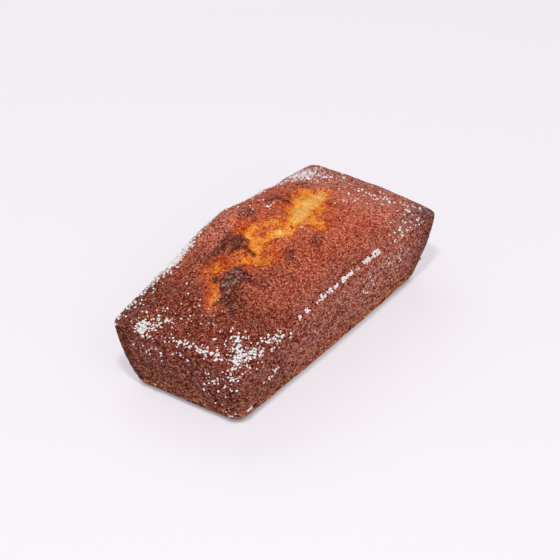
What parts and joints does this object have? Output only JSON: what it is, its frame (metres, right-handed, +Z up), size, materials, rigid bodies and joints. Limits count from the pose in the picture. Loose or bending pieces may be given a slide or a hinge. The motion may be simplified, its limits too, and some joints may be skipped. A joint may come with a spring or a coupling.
{
  "type": "financier cake",
  "caption": "Small almond loaf cake from a tapered bar mould, with a domed, split and browned top, scorched blisters and clumps of coarse white sugar along its rim.",
  "frame": {"origin": "middle of the cake's bounding box in plan, on the flat base that it stands on", "axes": "+X along the length, towards the end with the wide part of the split; +Y across the width, towards the steep shoulder; +Z up"},
  "size_m": [0.1, 0.0466, 0.0361],
  "materials": {
    "crust": "browned, porous baked crust with a golden split and white sugar"
  },
  "bodies": {
    "root": {"cake": "crust"}
  },
  "joints": []
}
